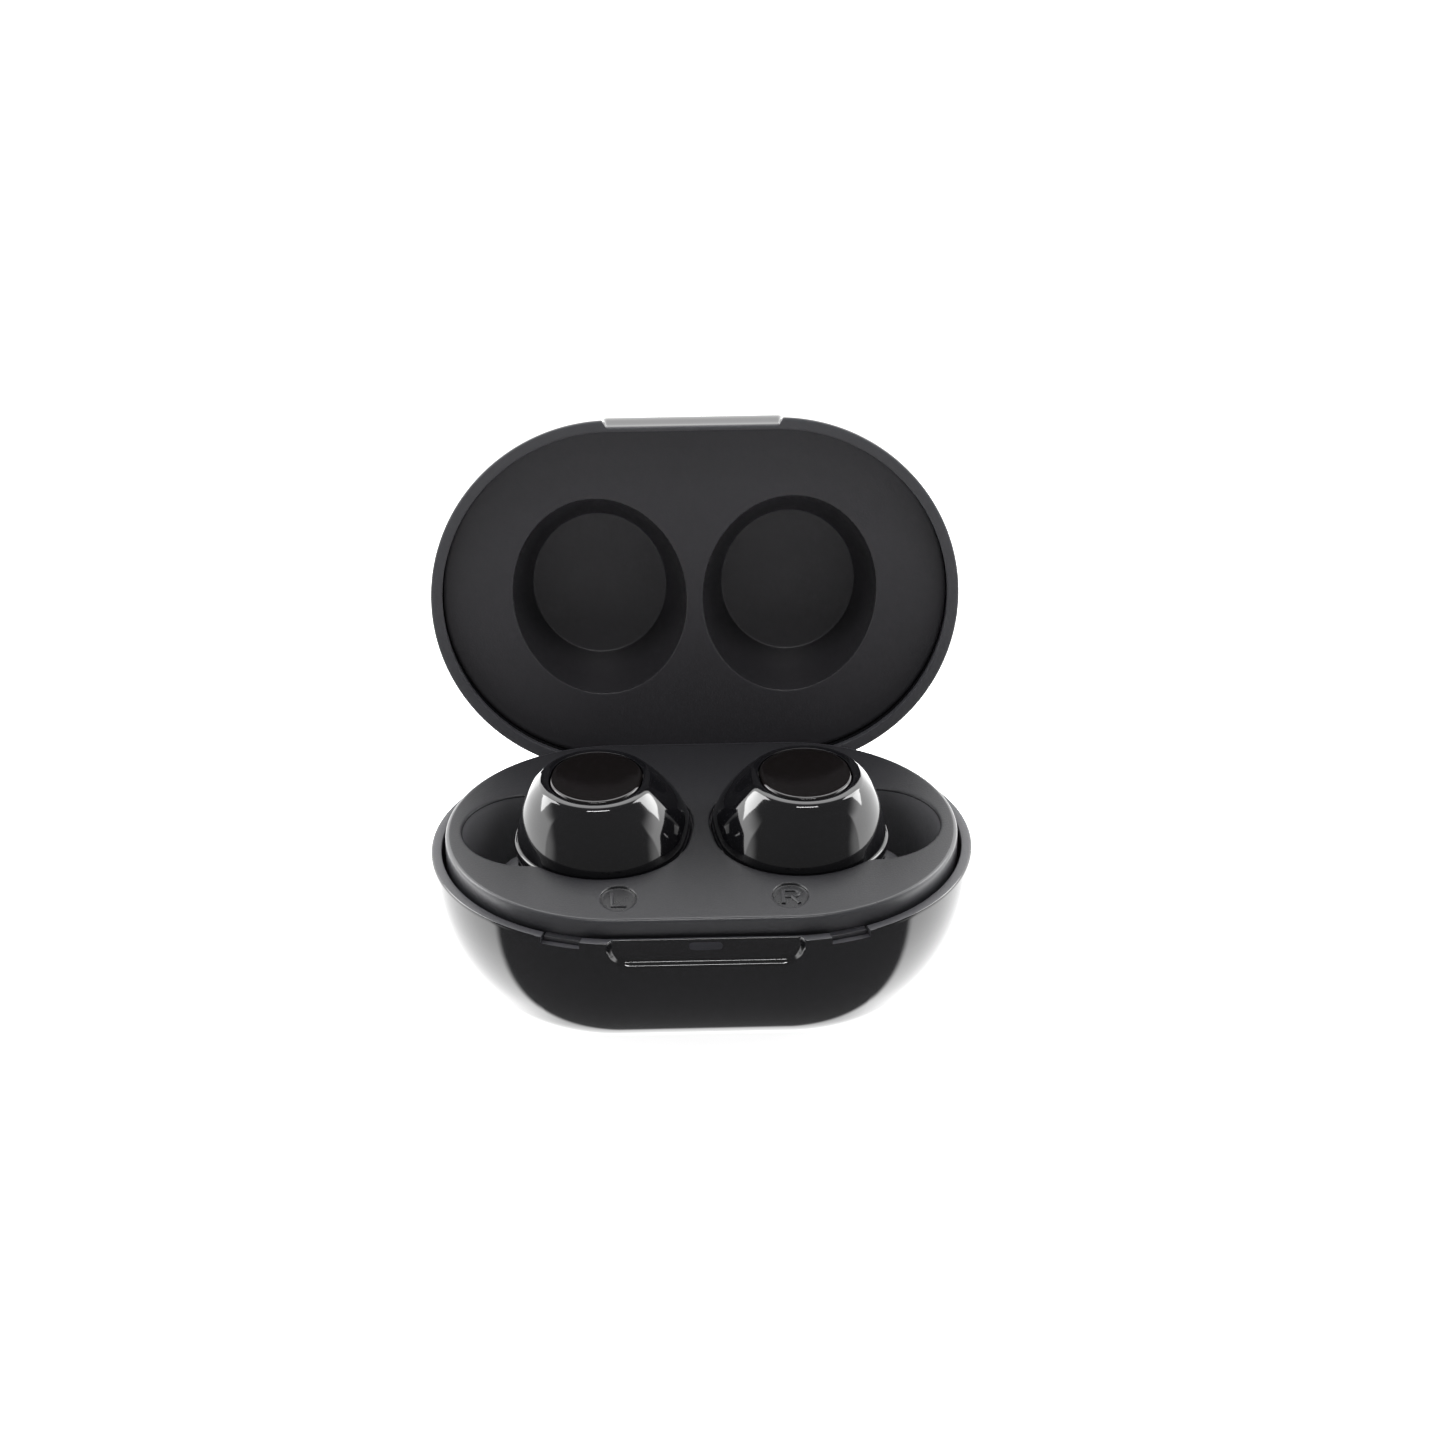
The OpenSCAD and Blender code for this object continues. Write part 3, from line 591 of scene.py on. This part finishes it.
def piece_from(name, work):
    """Ends a bmesh: joins its seams, turns its faces outwards and makes a smooth-shaded piece of it."""
    bmesh.ops.remove_doubles(work, verts=work.verts, dist=2e-6)
    bmesh.ops.recalc_face_normals(work, faces=work.faces)
    mesh = bpy.data.meshes.new(name)
    work.to_mesh(mesh)
    work.free()
    mesh.shade_smooth()
    mesh.set_sharp_from_angle(angle=radians(50))
    piece = bpy.data.objects.new(name, mesh)
    bpy.context.scene.collection.objects.link(piece)
    return piece


add_plate(tray_mesh, outlines, DECK_Z, in_deck_hole)
tray = piece_from("tray_moulding", tray_mesh)

# ABS with a spark-eroded grain: a soft broad sheen, a slightly lighter grey than the
# shell, in faint clouds. Such a grain is about 0.06 mm; it is drawn at 0.24 mm.
satin_grey = finish(
    "spark_eroded_abs_grey", "1b1b1e", (0.38, 0.56), ((0.24, 3, 0.5),), 0.02, ("212124", 14),
    IOR=ABS, Specular_IOR_Level=0.4,
)

# The sunken ovals round the side marks are polished in the mould and read darker.
mark_black = finish("polished_mark_floor", "18181a", (0.22, 0.36), ((0.6, 3, 0.5),), 0.005, IOR=ABS)

# Little light gets down into the bowls and pockets, and the deck's grey would look
# black there. They are drawn much paler than the deck, paler than the plastic is:
# painted light.
bowl_painted_light_grey = finish("spark_eroded_bowls_painted_light", "77777b", (0.45, 0.65), ((0.24, 3, 0.5),), 0.02, IOR=ABS)

# The deck's outer wall is drawn smoother and a little lighter than its top, so that
# it catches the light from the side; the lighter colour is painted sheen.
edge_painted_sheen_grey = finish("abs_edge_painted_sheen", "2c2c2f", (0.24, 0.38), ((0.5, 3, 0.5),), 0.008, IOR=ABS)

for material in (satin_grey, mark_black, bowl_painted_light_grey, edge_painted_sheen_grey):
    tray.data.materials.append(material)
for face in tray.data.polygons:
    x, y, z = (1000 * v for v in face.center)
    if in_mark(x, y, 0.1) and z < DECK_Z - 0.05:
        face.material_index = 1
    # the deck's outer wall: the grey with painted sheen
    elif reach_of(face) > TRAY_R - DECK_EDGE * 0.9:
        face.material_index = 3
    # bowls and pockets: the pale grey with painted light
    elif seat_gap(-abs(x), y) < 0.05 and z < DECK_Z - EDGE_R:
        face.material_index = 2
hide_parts("base_tray")
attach(tray, "base")


def stroke(name, paths, width, height, z):
    """Raised letter made of rounded strokes that stand on a floor."""
    data = bpy.data.curves.new(name, "CURVE")
    data.dimensions = "3D"
    data.bevel_depth = width / 2000
    data.bevel_resolution = 4
    data.use_fill_caps = True
    for path in paths:
        line = data.splines.new("POLY")
        line.points.add(len(path) - 1)
        for point, (x, y) in zip(line.points, path):
            point.co = (x / 1000, y / 1000, 0, 1)
    drawn = bpy.data.objects.new(name + "_line", data)
    bpy.context.scene.collection.objects.link(drawn)
    bpy.context.view_layer.update()
    mesh = bpy.data.meshes.new_from_object(drawn.evaluated_get(bpy.context.evaluated_depsgraph_get()))
    bpy.data.objects.remove(drawn)
    for vertex in mesh.vertices:
        vertex.co.z = vertex.co.z * 2 * height / width + z / 1000
    piece = bpy.data.objects.new(name, mesh)
    bpy.context.scene.collection.objects.link(piece)
    piece.data.shade_smooth()
    return piece


mark_paths = {
    "left_side_mark": (-MARK[0], (((-0.8, 1.6), (-0.8, -1.5), (1.0, -1.5)),)),
    "right_side_mark": (MARK[0], (
        ((-0.9, -1.6), (-0.9, 1.5)),
        ((-0.9, 1.5), *((0.3 + 0.8 * sin(a), 0.75 + 0.75 * cos(a)) for a in spread(0, (pi, 0.4))), (-0.9, 0)),
        ((0.2, 0), (1.1, -1.6)),
    )),
}
for name, (x, paths) in mark_paths.items():
    moved = [[(px + x, py - MARK[1]) for px, py in path] for path in paths]
    letter = stroke(name, moved, 0.55, 0.22, DECK_Z - MARK_SUNK)
    letter.data.materials.append(satin_grey)
    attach(letter, "base")

for hand, name in ((-1, "left"), (1, "right")):
    low, high = (-SNAP_HALF + 0.15, -23.05, RIM_Z - 2.0), (SNAP_HALF - 0.15, -22, RIM_Z - 0.28)
    hook = block(f"{name}_snap_hook", low, high, hand * SNAP_TURN, hand * HALF_MID)
    edge = hook.modifiers.new("worn_edge", "BEVEL")
    edge.width = 0.00012
    edge.segments = 3
    settle(hook)
    smooth(hook)
    # The snap hooks get the same lighter grey with painted sheen.
    hook.data.materials.append(edge_painted_sheen_grey)
    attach(hook, "base")

# ---------------------------------------------------------------- light window
# A smoked acrylic lens set in the floor of the finger notch; a lamp sits behind it.
window = slot_bar("light_window", 4.3, 1.15, -END_R + NOTCH_T - 0.04, -21, RIM_Z - 1.0, 24)
smooth(window)

# Cast acrylic with a smoky dye: even, a little hazy, and smoother than the shell around it.
smoked = finish("smoked_acrylic", "202024", (0.08, 0.18), ((1.2, 2, 0.5),), IOR=1.49)
window.data.materials.append(smoked)
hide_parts("light_pipe")
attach(window, "base")

# ---------------------------------------------------------------- lid shell
# The upper shell is a shallow gloss dome of the same polycarbonate. It is built
# shut and then swung back on the hinge to its stop.
LID_Z = RIM_Z + 0.15
LID_H = 13.1
LID_WALL = 1.2
LID_RING_IN = 22.45
LID_NOTCH_HALF, LID_NOTCH_H = 12.0, 3.3
LID_OPEN = radians(104)
swing = (
    Matrix.Translation((0, HINGE_Y / 1000, HINGE_Z / 1000))
    @ Matrix.Rotation(-LID_OPEN, 4, "X")
    @ Matrix.Translation((0, -HINGE_Y / 1000, -HINGE_Z / 1000))
)

rings = []
for r, d in bowl_line(END_R, LID_H, 5, LID_H - 0.02, 30)[::-1]:
    rings.append(stadium_ring(columns, max(r, 0.8), LID_Z + d))
for depth in spread(4.9, (EDGE, 0.13)):
    rings.append(stadium_ring(
        columns, shell_radius(depth, END_R, LID_H), LID_Z + depth,
        lambda way: NOTCH_T * scoop(way, 0, LID_NOTCH_HALF, LID_NOTCH_H) * ease(1 - depth / LID_NOTCH_H),
    ))
for a in spread(0.2, (pi / 2, 0.23)):
    rings.append(stadium_ring(
        columns, END_R - EDGE + EDGE * cos(a), LID_Z + EDGE - EDGE * sin(a),
        lambda way: NOTCH_T * scoop(way, 0, LID_NOTCH_HALF, LID_NOTCH_H),
    ))
for a in spread(0, (pi / 2, 0.4)):
    rings.append(stadium_ring(columns, LID_RING_IN + 0.15 * (1 - sin(a)), LID_Z + 0.15 * (1 - cos(a))))
rings += [stadium_ring(columns, LID_RING_IN, LID_Z + d) for d in (1.2, 2.6)]
roof_line = bowl_line(LID_RING_IN, LID_H - LID_WALL, 3, LID_H - LID_WALL - 0.02, 24)
rings += [stadium_ring(columns, max(r, 0.8), LID_Z + d) for r, d in roof_line]
lid_shell = loft("lid_shell_moulding", rings)
low, high = (-5.2, HINGE_Y - 0.5, LID_Z - 1), (5.2, HINGE_Y + 0.3, LID_Z + 4.4)
cut(lid_shell, block("leaf_room", low, high))
smooth(lid_shell)
lid_shell.data.materials.append(gloss_black)
lid_shell.data.materials.append(ring_grain_painted_light)
# The lid's ring and inside get the grained grey with its painted light.
for face in lid_shell.data.polygons:
    z = face.center.z * 1000
    on_ring = z < LID_Z + 0.25 and face.normal.z < -0.5
    inside = reach_of(face) < shell_radius(max(z - LID_Z, 0), LID_RING_IN, LID_H - LID_WALL) + 0.05
    face.material_index = 1 if on_ring or inside else 0
lid_shell.data.transform(swing)
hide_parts("lid_shell")
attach(lid_shell, "lid")

# ---------------------------------------------------------------- lid lining
# A satin ABS liner snaps into the lid. Two drafted recesses clear the buds' domes.
LINER_Z = DECK_Z + 0.35
RECESS_FLOOR = 30.9
liner_mesh = bmesh.new()
outer = [
    stadium_ring(deck_columns, LID_RING_IN - 0.02, LINER_Z + 1.2),
    stadium_ring(deck_columns, LID_RING_IN - 0.02, LINER_Z + 0.35),
    stadium_ring(deck_columns, LID_RING_IN - 0.1, LINER_Z + 0.12),
    stadium_ring(deck_columns, LID_RING_IN - 0.3, LINER_Z),
    stadium_ring(deck_columns, LID_RING_IN - 0.6, LINER_Z),
]
add_rings(liner_mesh, outer)
outlines = [[p[:2] for p in outer[-1]]]


def oval_ring(r, z, half_mid, shift=0.0, count=144, straight=6):
    """One level of the left bud's oval; shift moves it outwards, and straight 1 makes it an ellipse."""
    ring = []
    for i in range(count):
        a = 2 * pi * i / count
        middle = half_mid if sin(a) > 0 else -half_mid
        across, along = r * cos(a), r * sin(a) + middle * min(1, abs(sin(a)) * straight)
        u = across * cos(LEAN) + along * sin(LEAN)
        v = along * cos(LEAN) - across * sin(LEAN)
        ring.append((u - BUD_X - shift, v + BUD_Y, z))
    return ring


recess_line = (
    (11.85, 0, 1.9), (11.62, 0, 1.9), (11.54, 0.02, 1.9), (11.49, 0.08, 1.9), (11.46, 0.2, 1.88),
    (11.2, 1.4, 1.75), (10.85, 2.8, 1.55), (10.4, 4.2, 1.3), (9.9, 5.4, 1.1), (9.45, 6.4, 0.9),
    (9.15, 7.1, 0.8), (8.98, 7.5, 0.75), (8.92, 7.64, 0.72), (8.84, 7.73, 0.7), (8.7, 7.75, 0.7),
    (5.0, 7.75, 0.7), (2.0, 7.75, 0.7),
)
for hand in (-1, 1):
    recess = [mirrored(oval_ring(r, LINER_Z + d, half, straight=1), hand) for r, d, half in recess_line]
    add_rings(liner_mesh, recess, cap=True)
    outlines.append([p[:2] for p in recess[0]])


def in_recess(x, y, r=11.9, half_mid=1.9):
    """Whether a point lies inside an ellipse with the recess's lean."""
    u, v = BUD_X - abs(x), y - BUD_Y
    along = u * sin(LEAN) + v * cos(LEAN)
    across = u * cos(LEAN) - v * sin(LEAN)
    return hypot(across, along * r / (r + half_mid)) < r


add_plate(liner_mesh, outlines, LINER_Z, in_recess)
liner = piece_from("lid_lining", liner_mesh)

# The same spark-eroded ABS as the deck. It faces away from the lamp, so it is drawn a
# lighter grey than the deck, painted light, and the two look alike.
liner_painted_light_grey = finish(
    "spark_eroded_abs_painted_light", "2d2c30", (0.42, 0.6), ((0.24, 3, 0.5),), 0.02, ("343337", 16), IOR=ABS
)

# The recess walls look darker than the face round them: they are drawn smoother, so
# they mirror the dark room instead of scattering light, and their colour is drawn
# darker too: painted shade. The floors are grained again.
recess_wall_painted_shade = finish("recess_wall_abs_painted_shade", "242326", (0.34, 0.48), ((0.5, 3, 0.5),), 0.006, IOR=ABS)
# The recess floors are drawn a lighter grey than the face round them: painted light.
recess_floor_painted_light = finish("spark_eroded_recess_floor_painted_light", "37363a", (0.42, 0.6), ((0.24, 3, 0.5),), 0.02, IOR=ABS)
for material in (liner_painted_light_grey, recess_wall_painted_shade, recess_floor_painted_light):
    liner.data.materials.append(material)
for face in liner.data.polygons:
    depth = face.center.z * 1000 - LINER_Z
    inside = in_recess(face.center.x * 1000, face.center.y * 1000)
    # Liner face: grey with painted light; recess walls: painted shade; recess floors: painted light.
    face.material_index = 0 if not inside or depth < 0.02 else 2 if depth > 7.66 else 1
liner.data.transform(swing)
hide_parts("lid_liner")
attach(liner, "lid")

# ---------------------------------------------------------------- earbud domes
# Each bud's cover is a gloss dome, moulded like the shells. It rises from the oval
# split line to a flat rim round the push panel, which sits towards the outside.
SPLIT_Z, PLATEAU_Z = 22.3, 30.35
PANEL_SHIFT = 0.85
dome_line = (
    (11.05, 22.32), (11.0, 23.0), (10.83, 24.0), (10.5, 25.1), (10.02, 26.3), (9.42, 27.4),
    (8.75, 28.4), (8.0, 29.28), (7.45, 29.85), (7.2, 30.08), (7.0, 30.2), (6.75, 30.28), (6.4, 30.33),
    (6.12, 30.36), (6.03, 30.34), (6.0, 30.25), (6.0, 28.95), (5.2, 28.9),
)


def outward(z):
    """How far a level of the dome has moved towards the outside."""
    return PANEL_SHIFT * ease((z - SPLIT_Z) / (PLATEAU_Z - SPLIT_Z))


def finer(line, parts):
    """More points on a smooth curve through the given ones."""
    padded = [line[0], *line, line[-1]]
    points = []
    for p0, p1, p2, p3 in zip(padded, padded[1:], padded[2:], padded[3:]):
        for i in range(parts):
            t = i / parts
            points.append(tuple(
                b + 0.5 * t * (c - a + t * (2 * a - 5 * b + 4 * c - d + t * (3 * b - a - 3 * c + d)))
                for a, b, c, d in zip(p0, p1, p2, p3)
            ))
    return points + [line[-1]]


panel_line = (
    (5.84, 29.5), (5.84, 30.22), (5.8, 30.36), (5.7, 30.45), (5.55, 30.49), (5.3, 30.5), (3, 30.5), (1, 30.5),
)
# Acrylic-topped panel, flatter and blacker than the dome round it; fingers leave smudges.
panel_black = finish("polished_black_panel", "0d0b0b", (0.03, 0.12), ((5, 4, 0.6),), IOR=1.5)
for hand, name in ((-1, "left"), (1, "right")):
    rings = []
    for r, z in finer(dome_line[:13], 3) + list(dome_line[13:]):
        half = 1.2 - 0.6 * ease((z - SPLIT_Z) / (PLATEAU_Z - SPLIT_Z))
        shift = outward(z) if z < 30 and r > 6.5 else PANEL_SHIFT
        rings.append(mirrored(oval_ring(r, z, half, shift), hand))
    cover = loft(f"{name}_bud_dome", rings)
    smooth(cover, 50)
    cover.data.materials.append(gloss_black)
    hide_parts(f"{name}_bud_cover")
    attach(cover, f"{name}_bud")
    levels = [mirrored(oval_ring(r, z, 0.6, PANEL_SHIFT), hand) for r, z in panel_line]
    panel = loft(f"{name}_push_panel", levels)
    smooth(panel, 60)
    panel.data.materials.append(panel_black)
    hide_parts(f"{name}_bud_button")
    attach(panel, f"{name}_button")

# ---------------------------------------------------------------- earbud housings
# The lower housing is a bowl with the nozzle moulded on, in the same gloss black.
# A silicone tip is stretched over the nozzle, and a steel mesh closes its mouth.
housing_line = (
    (11.05, 22.28), (11.28, 22.1), (11.3, 21.7), (11.1, 20.6), (10.6, 19.0), (9.9, 17.4), (8.8, 15.7),
    (7.4, 14.3), (6.2, 13.35), (5.4, 13.02), (4.8, 13.0), (2.0, 13.0),
)
NOZZLE = (15.5, 17.0)
NOZZLE_TILT = radians(55)


def turned(name, line, hand, count=72, joined=False):
    """A body turned about the nozzle's axis, from (radius, distance along it)."""
    rings = []
    for r, s in line:
        ring = []
        for i in range(count):
            a = 2 * pi * i / count
            out, wide = r * cos(a), r * sin(a)
            x = -NOZZLE[0] - s * sin(NOZZLE_TILT) - out * cos(NOZZLE_TILT)
            z = NOZZLE[1] - s * cos(NOZZLE_TILT) + out * sin(NOZZLE_TILT)
            ring.append((x, BUD_Y + wide, z))
        rings.append(mirrored(ring, hand))
    return loft(name, rings, joined=joined)


def join(name, pieces):
    """Joins pieces into one object."""
    work = bmesh.new()
    for piece in pieces:
        work.from_mesh(piece.data)
        bpy.data.objects.remove(piece)
    mesh = bpy.data.meshes.new(name)
    work.to_mesh(mesh)
    work.free()
    whole = bpy.data.objects.new(name, mesh)
    bpy.context.scene.collection.objects.link(whole)
    return whole


nozzle_line = (
    (4.9, 2.2), (4.4, 3.2), (3.7, 4.2), (3.15, 5.2), (2.9, 6.0), (2.9, 9.2), (3.05, 9.5), (3.05, 9.9),
    (2.85, 10.25), (2.5, 10.4), (2.25, 10.3), (2.2, 10.0), (2.2, 5.0),
)
tip_line = (
    (2.4, 11.2), (2.38, 10.7), (2.95, 10.55), (2.95, 7.0), (3.1, 6.8), (3.4, 6.85), (3.5, 7.1),
    (3.55, 9.6), (4.1, 9.75), (4.7, 9.3), (5.05, 8.6), (5.2, 7.7), (5.12, 6.5), (5.2, 6.3),
    (5.45, 6.25), (5.62, 6.4), (5.75, 7.7), (5.6, 8.8), (5.2, 9.9), (4.6, 10.7), (3.8, 11.2),
    (3.0, 11.4), (2.6, 11.4),
)
# Soft silicone is never glossy: it scatters light and holds a fine, uneven film of dust.
# It is drawn as a dark grey, not black, painted light so that it shows in its shaded pocket.
silicone = finish("soft_silicone_painted_light", "48484b", (0.42, 0.72), ((0.35, 4, 0.65),), 0.008, IOR=1.42)
for hand, name in ((-1, "left"), (1, "right")):
    levels = finer(housing_line, 2)
    bowl = loft("bowl", [mirrored(oval_ring(r, z, 1.2, 0.12 if z > 20 else 0.0), hand) for r, z in levels])
    neck = turned("neck", nozzle_line, hand)
    smooth(bowl, 50)
    smooth(neck, 50)
    housing = join(f"{name}_bud_housing", [bowl, neck])
    housing.data.materials.append(gloss_black)
    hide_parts(f"{name}_bud_shell")
    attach(housing, f"{name}_bud")
    tip = turned(f"{name}_silicone_tip", finer(tip_line, 2), hand, joined=True)
    smooth(tip, 60)
    tip.data.materials.append(silicone)
    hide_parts(f"{name}_ear_tip")
    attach(tip, f"{name}_bud")

# ---------------------------------------------------------------- metal and inner parts
# These keep their designed shapes: the steel hinge, the port, the sprung gold pins,
# the magnets, the boards and the cells. Each gets the finish of the real part.


def dress(material, *nodes):
    """Gives carried-over parts a material."""
    for node in nodes:
        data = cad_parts[node].data
        data.materials.clear()
        data.materials.append(material)
        data.shade_smooth()
        data.set_sharp_from_angle(angle=radians(32))


def metal(name, colour, roughness, grain_mm, spread_by=0.1):
    """A metal with a fine grain in its gloss."""
    gloss = (roughness - spread_by, roughness + spread_by)
    return finish(name, colour, gloss, ((grain_mm, 4, 0.6),), 0.003, Metallic=1.0)


def plastic(name, colour, roughness, grain_mm, height_mm=0.01):
    """A moulded or coated surface with a fine grain."""
    gloss = (roughness - 0.08, roughness + 0.08)
    return finish(name, colour, gloss, ((grain_mm, 3, 0.5),), height_mm, IOR=1.5)


hands = ("left", "right")
ends = ("front", "rear")
# Stamped and blackened, so only its worn edges shine.
dress(metal("blackened_stamped_steel", "55565a", 0.38, 0.4), "hinge_cradle", "lid_hinge_leaf")
# Ground pin and spring wire: bright and even.
dress(metal("polished_pin_steel", "b4b6ba", 0.22, 0.2), "hinge_pin", "hinge_spring")
# Deep-drawn cans: bright, with a slight satin from the drawing.
dress(metal("drawn_stainless_steel", "b9bbc0", 0.3, 0.5), "usb_receptacle", *(f"{h}_cell" for h in hands))
# Thin gold over nickel: warm and smooth.
dress(
    metal("gold_plated_contact", "d6a84a", 0.24, 0.15),
    *(f"{h}_{e}_pin" for h in hands for e in ends),
    *(f"{h}_{n}" for h in hands for n in ("charge_pads", "microphone")),
)
# Tumbled nickel plate: greyish and softly mottled.
magnets = ("seat_magnet", "latch_magnet", "lid_magnet", "bud_magnet", "driver")
dress(
    metal("nickel_plated_magnet", "a9a8a4", 0.28, 0.3),
    "lid_sense_magnet", *(f"{h}_{n}" for h in hands for n in magnets),
)
# Turned steel: fine tool marks.
dress(metal("machined_screw_steel", "96989c", 0.32, 0.2), "board_screws", *(f"{h}_bud_switch" for h in hands))
# Woven wire: rough from a distance, with a strong sparkle.
dress(metal("woven_steel_mesh", "8c8e92", 0.42, 0.12, 0.15), *(f"{h}_nozzle_screen" for h in hands))
# Laminated foil: broad soft wrinkles in its shine.
dress(metal("pouch_foil", "b2b5ba", 0.36, 2.5), "battery")
# Solder mask over copper: green, wet-looking, slightly uneven.
dress(plastic("green_solder_mask", "14532f", 0.35, 1.1), "main_board", *(f"{h}_bud_board" for h in hands))
# Glass-filled nylon: dull and grainy.
dress(
    plastic("moulded_black_nylon", "1b1b1e", 0.5, 0.25),
    "power_chip", "usb_tongue", "hall_sensor", *(f"{h}_contact_block" for h in hands),
)
# Foam: no shine at all, and open pits.
dress(plastic("closed_cell_foam", "262628", 0.85, 0.4, 0.06), "battery_pad")
# Cast resin: pale yellow and smooth.
dress(plastic("cast_clear_resin", "e4e0c4", 0.2, 0.5), "status_led")
